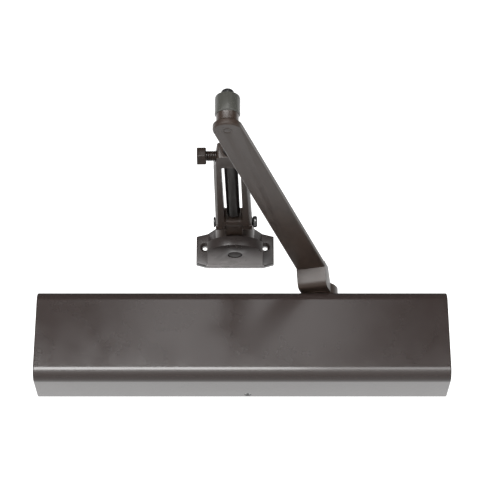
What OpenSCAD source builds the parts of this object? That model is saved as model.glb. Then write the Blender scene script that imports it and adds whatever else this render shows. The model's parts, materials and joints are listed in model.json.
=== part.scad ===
// Surface door closer with a full cover and a regular arm.
// The origin is the centre of the mounting face that lies on the door.
// X runs along the closer, +Y into the door and +Z up, along the pinion axis.

/* [Cover] */
// Length of the cover
cover_l = 320; // [314:1:340]
// Depth of the cover, from the door to its front face
cover_d = 40; // [39.5:0.5:42]
// Height of the cover
cover_h = 74; // [73:1:80]
// Radius of the two long front edges
cover_edge_r = 9.4; // [8:0.2:10]
// Sheet thickness of the cover
cover_wall = 1.8; // [1.2:0.1:2]
// Radius of the screw hole under the cover
cover_hole_r = 2.7; // [2.6:0.1:3]

/* [Housing] */
// Depth of the cast body
housing_d = 36; // [35.5:0.1:36.4]
// Height of the cast body
housing_h = 58; // [56:1:60]
// Left end of the barrel
barrel_x0 = -132; // [-133:0.5:-131]
// Right end of the barrel
barrel_x1 = 128; // [127:0.5:129]
// Radius of the cylinder bore
bore_r = 13.5; // [13.4:0.05:13.6]
// Spacing of the mounting holes along the closer
hole_pitch_x = 292; // [290:1:294]
// Spacing of the mounting holes up the closer
hole_pitch_z = 19; // [16:1:24]
// Radius of a mounting hole
hole_r = 3.4; // [2.6:0.1:3.6]

/* [Rack and pinion] */
// Distance of the pinion axis from the middle of the closer
pinion_x = 61.1; // [59.5:0.1:62]
// Gear module
gear_m = 1.25; // [1.24:0.01:1.26]
// Teeth on the pinion
gear_teeth = 12; // [12:1:12]
// Play between rack and pinion teeth
backlash = 0.16; // [0.12:0.02:0.24]

/* [Spring and power adjuster] */
// Turns of the main spring
spring_turns = 15; // [12:1:17]
// Wire radius of the main spring
spring_wire_r = 1.8; // [1.4:0.1:2]
// Mean radius of the main spring
spring_mean_r = 10.9; // [10.6:0.1:11.2]
// Radius of the power adjusting screw
power_r = 5; // [4:0.5:5.5]

/* [Main arm] */
// Underside of the arm bar above the closer's middle
arm_z = 52; // [50:0.5:52]
// Thickness of the arm bar
arm_t = 5; // [4:0.5:5]
// Half width of the arm bar at the hub end
arm_half_hub = 11.4; // [11:0.1:12.4]
// Half width of the arm bar at the elbow, and radius of its eye
arm_half_elbow = 10; // [9:0.5:10.5]
// Radius of the hub
hub_r = 14.7; // [14.3:0.1:15.3]
// Elbow position along the closer
elbow_x = -9.8; // [-11:0.2:-8]
// Elbow distance in front of the door
elbow_y = -262.5; // [-264:0.5:-260]

/* [Forearm] */
// Height of the forearm's middle
fore_z = 70; // [69.8:0.1:70.2]
// Radius of the forearm rod
rod_r = 5; // [4.5:0.1:5]
// Thickness of the forearm frame
frame_t = 12; // [12:0.5:13]
// Half width of the frame at its head
frame_half_head = 12.2; // [11.8:0.1:13]
// Half width of the frame at its fork
frame_half_fork = 14; // [13.4:0.1:14.6]
// Width of the slot in the frame
slot_w = 13.9; // [12:0.1:14.4]
// Bevel along the long edges of the frame
frame_bevel = 2; // [0.6:0.2:2.2]

/* [Foot] */
// Swivel axis along the closer
foot_x = -5.5; // [-6.4:0.1:-5]
// Swivel axis distance in front of the door
foot_y = -62; // [-62.4:0.1:-61.6]
// Front of the frame face that the foot is screwed to
foot_back_y = -38; // [-38.4:0.1:-37.6]
// Half width across the wings
wing_half = 30.4; // [29.8:0.1:32]
// Distance of a foot screw hole from the swivel axis
foot_hole_x = 23.6; // [23.4:0.1:24.4]
// Radius of a foot screw hole
foot_hole_r = 2; // [1.9:0.05:2.2]

/* [Hidden] */

$fn = 72;
eps = 0.01;
run = 0.05;          // radial clearance of a running fit

pinion_y = -20;
bore_y = -19;
cap_x = 14;          // length of an end cap inside the barrel
cap_step = 10;       // length of the wider threaded end of a cap
thread_r = bore_r + 0.9;

// Rack and pinion, in mesh at rest with a pinion tooth pointing to the front
pitch_r = gear_m * gear_teeth / 2;
press_a = 25;
base_r = pitch_r * cos(press_a);
tip_r = pitch_r + gear_m;
root_r = pitch_r - 1.25 * gear_m;
gear_half = 9.8;     // half the face width
journal_r = 8;
piston_r = bore_r - 0.06;
window_x0 = pinion_x - tip_r - 0.7;
window_x1 = pinion_x + tip_r + 22.5;
piston_x0 = 33;
piston_x1 = 109.5;

// Spring chamber
seat_x0 = -112;
seat_x1 = -105;

// Main arm
hub_z0 = cover_h / 2 + 0.4;
hub_z1 = arm_z - 5.3;
arm_len = norm([elbow_x - pinion_x, elbow_y - pinion_y]);
arm_turn = atan2(elbow_y - pinion_y, elbow_x - pinion_x);
bend_x = 27.5;       // start of the flat bar, from the pinion axis
neck_z0 = hub_z0 + 0.6;
neck_r = 5;          // rounding under the neck
neck_lean = 13;      // lean of the neck's front face
stud_r = 3.3;
shaft_half = 5.5;    // half the square end of the pinion shaft

// Elbow, from the arm bar upwards
arm_top = arm_z + arm_t;
socket_z0 = arm_top + 0.9;
socket_step = 64;
socket_z1 = 78.6;
nut_r = 4.6;
nut_step = socket_z1 + 2.6; // start of the nut's dome

// Forearm, measured along its own axis from the elbow
fore_turn = atan2(foot_y - elbow_y, foot_x - elbow_x);
fore_len = norm([foot_x - elbow_x, foot_y - elbow_y]);
nose_x = 58.5;
clamp_x = 66.9;
slot_x0 = 74.5;
slot_x1 = 159.5;
notch_x = 165.2;
fork_x = 171.2;
rod_end = 154.5;
slot_corner = 1.8;
notch_half = 6.5;
pin_r = 3;
clamp_r = 4;
clamp_head_y = 16.9;

// Foot
plate_t = 4;
floor_t = 7.8;       // thickness of the foot's lower plate
wing_t = 5;
foot_z0 = 56;
foot_z1 = 84;
block_half = 21.4;
knuckle_r = 15;
swivel_r = 4;

// Bars along each axis, given by their ends
module x_bar(r, x0, x1, y, z) translate([x0, y, z]) rotate([0, 90, 0]) cylinder(r = r, h = x1 - x0);
module y_bar(r, x, y0, y1, z) translate([x, y0, z]) rotate([-90, 0, 0]) cylinder(r = r, h = y1 - y0);
module z_bar(r, z0, z1) translate([0, 0, z0]) cylinder(r = r, h = z1 - z0);

// A shape of revolution on the X axis, from [x, radius] points
module x_turned(points) rotate([90, 0, 90]) rotate_extrude() polygon([for (p = points) [p[1], p[0]]]);

module x_ring(outer, inner, x0, x1) difference() {
    x_bar(outer, x0, x1, 0, 0);
    x_bar(inner, x0 - 1, x1 + 1, 0, 0);
}

module z_ring(outer, inner, z0, z1) difference() {
    z_bar(outer, z0, z1);
    z_bar(inner, z0 - 1, z1 + 1);
}

// A disc with its two rims bevelled
module z_disc(r, z0, z1, bevel) rotate_extrude() polygon([
    [0, z0], [r - bevel, z0], [r, z0 + bevel], [r, z1 - bevel], [r - bevel, z1], [0, z1]
]);

// An O-ring round the X axis
module x_seal(r, wire, x) translate([x, 0, 0]) rotate([0, 90, 0]) rotate_extrude()
    translate([r, 0]) circle(r = wire, $fn = 24);

module at_bore() translate([0, bore_y, 0]) children();
module at_pinion() translate([pinion_x, pinion_y, 0]) children();
module at_arm() at_pinion() rotate([0, 0, arm_turn]) children();
module at_elbow() translate([elbow_x, elbow_y, 0]) children();
module at_fore() translate([elbow_x, elbow_y, fore_z]) rotate([0, 0, fore_turn]) children();
module at_foot() translate([foot_x, foot_y, 0]) children();
module above_and_below() for (s = [0, 1]) mirror([0, 0, s]) children();

// Box section with its two front edges rounded, run along X
module cased_bar(x0, x1, depth, height, r) translate([x0, 0, 0]) rotate([90, 0, 90])
    linear_extrude(x1 - x0) union() {
        translate([-depth + r, -height / 2]) square([depth - r, height]);
        translate([-depth, -height / 2 + r]) square([depth, height - 2 * r]);
        for (s = [-1, 1]) translate([-depth + r, s * (height / 2 - r)]) circle(r = r);
    }

// ---- Cover ----

module cover() color([0.27, 0.24, 0.23]) difference() {
    cased_bar(-cover_l / 2, cover_l / 2, cover_d, cover_h, cover_edge_r);
    translate([0, 1, 0]) cased_bar(
        -cover_l / 2 + cover_wall, cover_l / 2 - cover_wall,
        cover_d - cover_wall + 1, cover_h - 2 * cover_wall, cover_edge_r - cover_wall);
    // slot for the pinion shaft, open to the back
    at_pinion() {
        z_bar(12, 30, cover_h / 2 + 1);
        translate([-12, 0, 30]) cube([24, 30, cover_h / 2 - 29]);
    }
    translate([cover_screw_x, cover_screw_y, 0]) z_bar(cover_hole_r, -cover_h / 2 - 1, -cover_h / 2 + 4);
}

cover_screw_x = 4.4;
cover_screw_y = -5;

// Steel tab under the body that takes the cover's screw
module cover_bracket() color([0.55, 0.56, 0.58]) difference() {
    union() {
        translate([cover_screw_x - 18, -9.5, -housing_h / 2 - 1.6]) cube([36, 9.5, 1.6]);
        translate([cover_screw_x, cover_screw_y, 0])
            z_bar(4.2, -cover_h / 2 + cover_wall + 0.1, -housing_h / 2);
    }
    translate([cover_screw_x, cover_screw_y, 0]) z_bar(2.1, -cover_h / 2, -housing_h / 2 + 1);
}

module cover_screw() color([0.12, 0.12, 0.12]) translate([cover_screw_x, cover_screw_y, 0]) difference() {
    union() {
        z_bar(2.1, -cover_h / 2 + cover_wall, -housing_h / 2 - 0.4);
        z_bar(2.6, -cover_h / 2 + 0.3, -cover_h / 2 + cover_wall + 0.1);
    }
    z_bar(1.3, -cover_h / 2 - 1, -cover_h / 2 + 2.4, $fn = 6);
}

// ---- Body ----

valve_z = 21;
valve_y = -16;       // tip of a valve screw
channel_y = -13;
valves = [[84, 1], [104, 1], [84, -1]];

module lug(side) {
    x_in = side > 0 ? barrel_x1 : barrel_x0;
    x_out = side * (hole_pitch_x / 2 + 6);
    for (s = [-1, 1]) y_bar(4, x_out - side * 4, -8, 0, s * 16);
    translate([min(x_in, x_out - side * 4), -8, -20]) cube([abs(x_out - side * 4 - x_in), 8, 40]);
    translate([min(x_out, x_out - side * 8), -8, -16]) cube([8, 8, 32]);
}

module housing() color([0.62, 0.63, 0.64]) difference() {
    union() {
        cased_bar(barrel_x0, barrel_x1, housing_d, housing_h, 8);
        lug(-1);
        lug(1);
    }
    // cylinder bore with a wider threaded mouth at each end
    at_bore() {
        x_bar(bore_r, barrel_x0 - 1, barrel_x1 + 1, 0, 0);
        x_bar(thread_r, barrel_x0 - 1, barrel_x0 + cap_step, 0, 0);
        x_bar(thread_r, barrel_x1 - cap_step, barrel_x1 + 1, 0, 0);
    }
    at_pinion() z_bar(11, -housing_h / 2 - 1, housing_h / 2 + 1);
    for (sx = [-1, 1], sz = [-1, 1])
        y_bar(hole_r, sx * hole_pitch_x / 2, -9, 1, sz * hole_pitch_z / 2);
    // valve seats, and the oil channels that they throttle
    for (v = valves) {
        y_bar(3 + run, v[0], -housing_d - 1, valve_y, v[1] * valve_z);
        y_bar(1.2, v[0], valve_y - 1, channel_y, v[1] * valve_z);
    }
    above_and_below() {
        x_bar(1.2, 79, barrel_x1 + 1, channel_y, valve_z);
        x_bar(2.5, barrel_x1 - 5, barrel_x1 + 1, channel_y, valve_z);
    }
    for (x = [80, 111]) translate([x, channel_y, 0]) z_bar(1.2, -valve_z, valve_z);
}

module passage_plugs() color("gainsboro") above_and_below()
    x_bar(2.5, barrel_x1 - 5, barrel_x1, channel_y, valve_z);

// Plug with a wide threaded end, a groove for its seal and two spanner holes
module end_cap(side, x_end) difference() {
    x_turned([
        [x_end, 0], [x_end, thread_r - 0.5], [x_end - side * 0.5, thread_r],
        [x_end - side * cap_step, thread_r], [x_end - side * cap_step, bore_r - 0.04],
        [x_end - side * (cap_step + 1), bore_r - 0.04], [x_end - side * (cap_step + 1), bore_r - 1.6],
        [x_end - side * (cap_step + 3), bore_r - 1.6], [x_end - side * (cap_step + 3), bore_r - 0.04],
        [x_end - side * cap_x, bore_r - 0.04], [x_end - side * cap_x, 0]
    ]);
    for (s = [-1, 1]) x_bar(1.6, min(x_end - side * 4, x_end + side), max(x_end - side * 4, x_end + side), 0, s * 9);
}

module left_end_cap() color("silver") at_bore() difference() {
    end_cap(-1, barrel_x0);
    x_bar(power_r + run, barrel_x0 - 1, barrel_x0 + cap_x + 1, 0, 0);
}

module right_end_cap() color("silver") at_bore() end_cap(1, barrel_x1);

module end_cap_seals() color([0.1, 0.1, 0.1]) at_bore()
    for (x = [barrel_x0 + cap_step + 2, barrel_x1 - cap_step - 2]) x_seal(bore_r - 0.85, 0.75, x);

module bearing_cup() z_ring(10.98, 10.2, 14, 22);
module upper_bearing_cup() color([0.75, 0.76, 0.78]) at_pinion() bearing_cup();
module lower_bearing_cup() color([0.75, 0.76, 0.78]) at_pinion() mirror([0, 0, 1]) bearing_cup();

module bearing_needles() color([0.85, 0.86, 0.88]) at_pinion() above_and_below()
    for (i = [0 : 15]) rotate([0, 0, i * 360 / 16]) translate([journal_r + 1.1, 0, 0])
        z_bar(1.06, 14.6, 21.4, $fn = 20);

module shaft_seals() color([0.1, 0.1, 0.1]) at_pinion() above_and_below()
    z_ring(10.95, journal_r + run, 22.2, 25.2);

module bearing_nut() difference() {
    union() {
        z_ring(10.95, journal_r + 0.4, 25.4, housing_h / 2 + 0.5);
        z_ring(12.6, journal_r + 0.4, housing_h / 2, housing_h / 2 + 2.2);
    }
    for (a = [0 : 90 : 270]) rotate([0, 0, a + 45]) translate([11.6, -1.5, housing_h / 2 + 0.2]) cube([3, 3, 4]);
}
module upper_bearing_nut() color("silver") at_pinion() bearing_nut();
module lower_bearing_nut() color("silver") at_pinion() mirror([0, 0, 1]) bearing_nut();

// A needle valve screw with a slotted head, turned from the front
module valve_screw(v) translate([v[0], 0, v[1] * valve_z]) difference() {
    union() {
        y_bar(3, 0, -housing_d + 1, valve_y - 4, 0);
        y_bar(2, 0, valve_y - 4 - eps, valve_y - 1.2, 0);
    }
    translate([-0.5, -housing_d, -4]) cube([1, 2.6, 8]);
}
module sweep_valve() color([0.78, 0.62, 0.3]) valve_screw(valves[0]);
module latch_valve() color([0.78, 0.62, 0.3]) valve_screw(valves[1]);
module backcheck_valve() color([0.78, 0.62, 0.3]) valve_screw(valves[2]);

// ---- Piston, spring and power adjuster ----

// One rack tooth, its tip towards the pinion
module rack_tooth() {
    half = PI * gear_m / 4 - backlash / 4;
    polygon([
        [-half - 1.6 * gear_m * tan(press_a), -1.6 * gear_m], [-half + gear_m * tan(press_a), gear_m],
        [half - gear_m * tan(press_a), gear_m], [half + 1.6 * gear_m * tan(press_a), -1.6 * gear_m]
    ]);
}

module piston() color([0.5, 0.5, 0.52]) {
    rack_y = pinion_y - pitch_r;
    floor_y = rack_y - 1.25 * gear_m;
    difference() {
        at_bore() x_bar(piston_r, piston_x0, piston_x1, 0, 0);
        translate([window_x0, floor_y, -20]) cube([window_x1 - window_x0, -10.6 - floor_y, 40]);
        // grooves for the piston seals
        at_bore() for (x = [piston_x0 + 4, piston_x1 - 6]) x_ring(bore_r + 1, bore_r - 1.6, x, x + 2);
        // check valve passage through the left head
        at_bore() {
            x_bar(1.4, piston_x0 - 1, window_x0 + 1, 0, 0);
            x_bar(2.1, piston_x0 + 8, window_x0 + 1, 0, 0);
            x_bar(3.6, window_x0 - 4, window_x0 + 1, 0, 0);
        }
    }
    // rack teeth on the front wall of the window
    intersection() {
        translate([0, rack_y, -9.5]) linear_extrude(19) for (i = [-2 : 7])
            translate([pinion_x + (i + 0.5) * PI * gear_m, 0]) rack_tooth();
        at_bore() x_bar(piston_r, window_x0 - 0.5, window_x1 + 0.5, 0, 0);
    }
}

module piston_seals() color([0.1, 0.1, 0.1]) at_bore()
    for (x = [piston_x0 + 4, piston_x1 - 6]) x_ring(bore_r - run, bore_r - 1.6, x + 0.1, x + 1.9);

module check_valve_ball() color("gainsboro") at_bore()
    translate([piston_x0 + 8 + 2.2, 0, 0]) sphere(r = 2, $fn = 32);

module check_valve_seat() color([0.78, 0.62, 0.3]) at_bore()
    x_ring(3.6, 1.2, window_x0 - 4, window_x0 - 0.2);

// Coil of round wire on the bore's axis
module main_spring() color([0.35, 0.36, 0.38]) at_bore() {
    sides = 6;
    steps = 16;
    x0 = seat_x1 + spring_wire_r + 0.2;
    x1 = piston_x0 - spring_wire_r - 0.2;
    count = spring_turns * steps;
    rings = [for (i = [0 : count]) let (a = i * 360 / steps, x = x0 + (x1 - x0) * i / count)
        for (j = [0 : sides - 1]) let (b = j * 360 / sides, r = spring_mean_r + spring_wire_r * cos(b))
            [x + spring_wire_r * sin(b), r * cos(a), r * sin(a)]];
    skin = [for (i = [0 : count - 1], j = [0 : sides - 1]) let (k = (j + 1) % sides)
        [i * sides + j, (i + 1) * sides + j, (i + 1) * sides + k, i * sides + k]];
    ends = [[for (j = [0 : sides - 1]) j], [for (j = [sides - 1 : -1 : 0]) count * sides + j]];
    polyhedron(points = rings, faces = concat(skin, ends));
}

module spring_seat() color("silver") at_bore() difference() {
    union() {
        x_bar(bore_r - 0.5, seat_x0, seat_x1, 0, 0);
        x_bar(8.4, seat_x1 - eps, seat_x1 + 4, 0, 0);
    }
    x_bar(power_r + run, seat_x0 - 1, seat_x1 + 5, 0, 0);
}

module power_screw() color([0.6, 0.61, 0.63]) at_bore() difference() {
    x_turned([
        [barrel_x0 - 3, 0], [barrel_x0 - 3, power_r - 0.6], [barrel_x0 - 2.4, power_r],
        [barrel_x0 + 6, power_r], [barrel_x0 + 6, power_r - 1], [barrel_x0 + 7.6, power_r - 1],
        [barrel_x0 + 7.6, power_r], [barrel_x0 + cap_x + 0.2, power_r], [barrel_x0 + cap_x + 0.2, 8],
        [barrel_x0 + cap_x + 3.2, 8], [barrel_x0 + cap_x + 3.2, power_r], [-90, power_r], [-89, power_r - 1],
        [-89, 0]
    ]);
    x_bar(2.9, barrel_x0 - 4, barrel_x0 + 3, 0, 0, $fn = 6);
}

module power_screw_seal() color([0.1, 0.1, 0.1]) at_bore() x_seal(power_r - 0.47, 0.5, barrel_x0 + 6.8);

// ---- Pinion shaft ----

function involute(r, side, turn) = let (
    t = sqrt(pow(r / base_r, 2) - 1) * 180 / PI,
    roll = t - atan(t * PI / 180)
) [r * cos(turn - side * roll), r * sin(turn - side * roll)];

module pinion_teeth() {
    pitch_t = sqrt(pow(pitch_r / base_r, 2) - 1) * 180 / PI;
    pitch_roll = pitch_t - atan(pitch_t * PI / 180);
    half = 90 / gear_teeth - backlash / (4 * pitch_r) * 180 / PI + pitch_roll;
    flank = [for (i = [0 : 5]) base_r + (tip_r - base_r) * i / 5];
    union() {
        circle(r = root_r);
        for (k = [0 : gear_teeth - 1]) rotate(k * 360 / gear_teeth - 90) polygon(concat(
            [[0, 0], [root_r * cos(half), -root_r * sin(half)]],
            [for (r = flank) involute(r, -1, -half)],
            [for (i = [5 : -1 : 0]) involute(flank[i], 1, half)],
            [[root_r * cos(half), root_r * sin(half)]]
        ));
    }
}

module pinion_shaft() color([0.7, 0.71, 0.73]) at_pinion() difference() {
    union() {
        translate([0, 0, -gear_half]) linear_extrude(2 * gear_half) pinion_teeth();
        z_bar(5.8, -12, 12);
        above_and_below() z_bar(journal_r, gear_half + 0.6, 30);
        z_bar(journal_r, 30, hub_z0 - 0.2);
        z_bar(5.4, -34, -30);
        rotate([0, 0, arm_turn]) translate([-shaft_half, -shaft_half, hub_z0 - 1])
            cube([2 * shaft_half, 2 * shaft_half, hub_z1 - hub_z0 + 0.6]);
    }
    z_bar(2.5, hub_z1 - 16, hub_z1 + 1);
}

// ---- Main arm ----

// Cuts the 45 degree bevel off one long edge that runs along X
module edge_cut(length, bevel) rotate([45, 0, 0])
    translate([-1, -bevel * 0.7071, -bevel * 0.7071]) cube([length + 2, bevel * 1.4142, bevel * 1.4142]);

module main_arm() color([0.33, 0.3, 0.29]) at_arm() {
    taper = atan((arm_half_hub - arm_half_elbow) / arm_len);
    face_run = (arm_z - neck_z0 - neck_r * (1 - sin(neck_lean))) * tan(neck_lean);
    round_x = bend_x - face_run - neck_r * cos(neck_lean);
    difference() {
        union() {
            z_disc(hub_r, hub_z0, hub_z1, 0.8);
            // neck from the hub up to the bar, rounded below its steep front face
            translate([0, arm_half_hub, 0]) rotate([90, 0, 0]) linear_extrude(2 * arm_half_hub) polygon(concat(
                [[6, hub_z1], [6, neck_z0]],
                [for (a = [-90 : (90 - neck_lean) / 7 : -neck_lean + eps])
                    [round_x + neck_r * cos(a), neck_z0 + neck_r * (1 + sin(a))]],
                [[bend_x, arm_z], [bend_x, arm_top], [16, arm_top], [10, hub_z1]]
            ));
            difference() {
                translate([0, 0, arm_z]) linear_extrude(arm_t) polygon([
                    [bend_x - 4, -arm_half_hub], [arm_len, -arm_half_elbow],
                    [arm_len, arm_half_elbow], [bend_x - 4, arm_half_hub]
                ]);
                for (s = [-1, 1], z = [arm_z, arm_top])
                    translate([bend_x - 4, s * arm_half_hub, z]) rotate([0, 0, -s * taper]) edge_cut(arm_len, 0.9);
            }
            translate([arm_len, 0, 0]) z_disc(arm_half_elbow, arm_z, arm_top, 0.9);
        }
        translate([-shaft_half - 0.03, -shaft_half - 0.03, hub_z0 - 1])
            cube([2 * shaft_half + 0.06, 2 * shaft_half + 0.06, 20]);
        translate([arm_len, 0, 0]) z_bar(stud_r, arm_z - 1, arm_top + 1);
    }
}

module arm_washer() color([0.3, 0.3, 0.31]) at_pinion() z_ring(7.8, 3.1, hub_z1, hub_z1 + 1.5);

module arm_screw() color([0.2, 0.2, 0.2]) at_pinion() difference() {
    union() {
        z_bar(2.5, hub_z1 - 13, hub_z1 + 2);
        z_disc(5, hub_z1 + 1.5, hub_z1 + 6.5, 0.5);
    }
    z_bar(2.9, hub_z1 + 3.5, hub_z1 + 8, $fn = 6);
}

// ---- Elbow ----

module elbow_stud() color([0.3, 0.3, 0.3]) at_elbow() z_disc(stud_r, arm_z - 0.15, socket_z1 + 2.4, 0.3);

module elbow_spacer() color([0.25, 0.25, 0.24]) at_elbow()
    z_ring(7.6, stud_r, arm_top, socket_z0 - 0.1);

module elbow_washer() color([0.3, 0.3, 0.3]) at_elbow() z_ring(5.4, stud_r, socket_z1 + 0.1, socket_z1 + 0.9);

module elbow_nut() color([0.08, 0.08, 0.08]) at_elbow() difference() {
    union() {
        z_bar(nut_r, socket_z1 + 0.9, nut_step);
        intersection() {
            translate([0, 0, nut_step - 2]) sphere(r = norm([nut_r, 2]), $fn = 48);
            z_bar(nut_r, nut_step - eps, nut_step + 4);
        }
    }
    z_bar(stud_r, socket_z1, socket_z1 + 2.4);
}

// Round socket that turns on the stud and holds the rod
module elbow_socket() color([0.38, 0.39, 0.37]) difference() {
    at_elbow() difference() {
        rotate_extrude() polygon([
            [0, socket_z0], [7.35, socket_z0], [7.65, socket_z0 + 0.3], [7.65, socket_step],
            [8, socket_step], [8.7, socket_step + 0.8], [8.7, socket_z1 - 1.9],
            [8.3, socket_z1 - 0.8], [7.5, socket_z1 - 0.2], [6.6, socket_z1], [0, socket_z1]
        ]);
        z_bar(stud_r + run, socket_z0 - 1, socket_z1 + 1);
    }
    at_fore() x_bar(rod_r, 4.4, 12, 0, 0);
}

// ---- Forearm ----

module rod() color([0.12, 0.12, 0.12]) at_fore() x_turned([
    [4.4, 0], [4.4, rod_r], [rod_end - 1, rod_r], [rod_end, rod_r - 1], [rod_end, 0]
]);

module forearm_frame() color([0.33, 0.3, 0.29]) at_fore() {
    taper = atan((frame_half_fork - frame_half_head) / (fork_x - slot_x0));
    difference() {
        intersection() {
            translate([0, 0, -frame_t]) linear_extrude(2 * frame_t) polygon([
                [nose_x, -7.9], [nose_x + 1.2, -9.1], [clamp_x + 1, -10.3], [slot_x0, -frame_half_head],
                [fork_x + 10, -frame_half_fork], [fork_x + 10, frame_half_fork],
                [slot_x0, frame_half_head], [clamp_x + 1, 10.3], [nose_x + 1.2, 9.1], [nose_x, 7.9]
            ]);
            union() {
                translate([nose_x, -20, -frame_t / 2]) cube([fork_x - nose_x, 40, frame_t]);
                y_bar(frame_t / 2, fork_x, -20, 20, 0);
            }
        }
        for (s = [-1, 1], z = [-1, 1]) translate([slot_x0, s * frame_half_head, z * frame_t / 2])
            rotate([0, 0, s * taper]) translate([-14, 0, 0]) edge_cut(fork_x - slot_x0 + 8, frame_bevel);
        // long slot with rounded corners
        for (x = [slot_x0 + slot_corner, slot_x1 - slot_corner], s = [-1, 1])
            translate([x, s * (slot_w / 2 - slot_corner), 0]) z_bar(slot_corner, -9, 9);
        translate([slot_x0 + slot_corner, -slot_w / 2, -9])
            cube([slot_x1 - slot_x0 - 2 * slot_corner, slot_w, 18]);
        translate([slot_x0, -slot_w / 2 + slot_corner, -9])
            cube([slot_x1 - slot_x0, slot_w - 2 * slot_corner, 18]);
        // fork notch
        translate([notch_x, -notch_half, -9]) cube([20, 2 * notch_half, 18]);
        x_bar(rod_r + 0.06, nose_x - 1, slot_x0 + 8, 0, 0);
        y_bar(pin_r, fork_x, -20, 20, 0);
        y_bar(clamp_r + run, clamp_x, 3, 20, 0);
    }
}

module fork_pin() color([0.08, 0.08, 0.08]) at_fore() {
    y_bar(pin_r, fork_x, -frame_half_fork - 1, frame_half_fork + 1, 0);
    translate([fork_x, -frame_half_fork - 0.2, 0]) rotate([90, 0, 0]) z_disc(4.4, 0, 3.5, 0.8);
    translate([fork_x, frame_half_fork + 0.2, 0]) rotate([-90, 0, 0]) z_disc(4, 0, 1.4, 0.4);
}

// Hexagon bolt that grips the rod
module clamp_bolt() color([0.3, 0.28, 0.27]) at_fore() {
    y_bar(clamp_r, clamp_x, rod_r + 0.1, clamp_head_y + 1, 0);
    y_bar(clamp_r + 1.8, clamp_x, clamp_head_y, clamp_head_y + 0.5, 0);
    intersection() {
        translate([clamp_x, clamp_head_y + 0.4, 0]) rotate([-90, 30, 0]) cylinder(r = 7, h = 6.2, $fn = 6);
        translate([clamp_x, clamp_head_y, 0]) rotate([-90, 0, 0]) z_disc(6.95, -1, 6.6, 1);
    }
}

// ---- Foot ----

// Swivel block with the tongue that the fork holds
module knuckle() color([0.36, 0.33, 0.31]) difference() {
    union() {
        at_foot() z_disc(knuckle_r, foot_z0 + floor_t + 1, foot_z1 - plate_t - 1, 0.8);
        at_fore() {
            translate([fork_x, -notch_half + 0.15, -4.5]) cube([fore_len - fork_x, 2 * notch_half - 0.3, 9]);
            y_bar(4.5, fork_x, -notch_half + 0.15, notch_half - 0.15, 0);
        }
    }
    at_foot() z_bar(swivel_r + run, foot_z0, foot_z1);
    at_fore() y_bar(pin_r + run, fork_x, -20, 20, 0);
}

foot_back = foot_back_y - foot_y;

// Lower plate with an arched front
module foot_floor() translate([0, 0, foot_z0]) linear_extrude(floor_t) intersection() {
    translate([-block_half, -20]) square([2 * block_half, 20 + foot_back]);
    union() {
        translate([0, 7.7]) circle(r = 26);
        translate([-block_half, 7]) square([2 * block_half, foot_back - 7]);
    }
}

// Upper plate that narrows to a boss round the swivel pin
module foot_top() translate([0, 0, foot_z1 - plate_t]) linear_extrude(plate_t) {
    circle(r = 10);
    polygon([
        [-block_half - 0.6, foot_back], [-block_half - 0.6, 20.5], [-15.2, 10.7], [-9, 3],
        [9, 3], [15.2, 10.7], [block_half + 0.6, 20.5], [block_half + 0.6, foot_back]
    ]);
}

module foot_wall() translate([0, 0, foot_z0 + floor_t - eps])
    linear_extrude(foot_z1 - foot_z0 - floor_t - plate_t + 2 * eps) polygon([
        [block_half + 0.6, foot_back], [block_half + 0.6, 20.5], [15.2, 10.7], [11.6, 12.6],
        [17.2, 21], [17.2, foot_back]
    ]);

module wing_outline() polygon([
    [-block_half, foot_z0 - 0.2], [-wing_half, foot_z0 + 2.3], [-wing_half, foot_z1 - 2.8],
    [-block_half, foot_z1 - 0.4], [block_half, foot_z1 - 0.4], [wing_half, foot_z1 - 2.8],
    [wing_half, foot_z0 + 2.3], [block_half, foot_z0 - 0.2]
]);

foot_hole_z = 72;
csk_r = 3.9;

module foot_bracket() color([0.38, 0.36, 0.35]) at_foot() difference() {
    union() {
        foot_floor();
        foot_top();
        foot_wall();
        mirror([1, 0, 0]) foot_wall();
        translate([0, foot_back, 0]) rotate([90, 0, 0]) linear_extrude(wing_t) wing_outline();
    }
    for (s = [-1, 1]) {
        y_bar(foot_hole_r, s * foot_hole_x, foot_back - 6, foot_back + 1, foot_hole_z);
        translate([s * foot_hole_x, foot_back - wing_t, foot_hole_z]) rotate([-90, 0, 0])
            cylinder(r1 = csk_r, r2 = foot_hole_r, h = csk_r - foot_hole_r);
        y_bar(csk_r, s * foot_hole_x, -1, foot_back - wing_t + eps, foot_hole_z);
    }
    z_bar(swivel_r, foot_z0 - 1, foot_z1 + 1);
    z_bar(5.7, foot_z0 - 1, foot_z0 + 1.6);
}

module swivel_pin() color([0.3, 0.29, 0.28]) at_foot() {
    z_disc(5.2, foot_z0 + 0.5, foot_z0 + 1.6, 0.3);
    z_disc(swivel_r, foot_z0 + 1, foot_z1 + 0.4, 0.4);
}

module swivel_washers() color([0.2, 0.2, 0.2]) at_foot()
    for (z = [foot_z0 + floor_t, foot_z1 - plate_t - 0.9]) z_ring(11, swivel_r, z, z + 0.9);

housing();
cover();
cover_bracket();
cover_screw();
left_end_cap();
right_end_cap();
end_cap_seals();
passage_plugs();
upper_bearing_cup();
lower_bearing_cup();
bearing_needles();
shaft_seals();
upper_bearing_nut();
lower_bearing_nut();
main_spring();
piston();
piston_seals();
check_valve_ball();
check_valve_seat();
spring_seat();
power_screw();
power_screw_seal();
sweep_valve();
latch_valve();
backcheck_valve();
pinion_shaft();
main_arm();
arm_washer();
arm_screw();
elbow_stud();
elbow_spacer();
elbow_washer();
elbow_nut();
elbow_socket();
rod();
forearm_frame();
fork_pin();
clamp_bolt();
knuckle();
foot_bracket();
swivel_pin();
swivel_washers();
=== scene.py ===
"""Surface door closer with a full cover and a regular arm.

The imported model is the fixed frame. This file adds the finished pieces that stand for its visible
nodes, gives every node its material, and sets the stage, the lights and the camera.
"""
import json
import math

import bmesh
import bpy
from mathutils import Matrix, Vector


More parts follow.
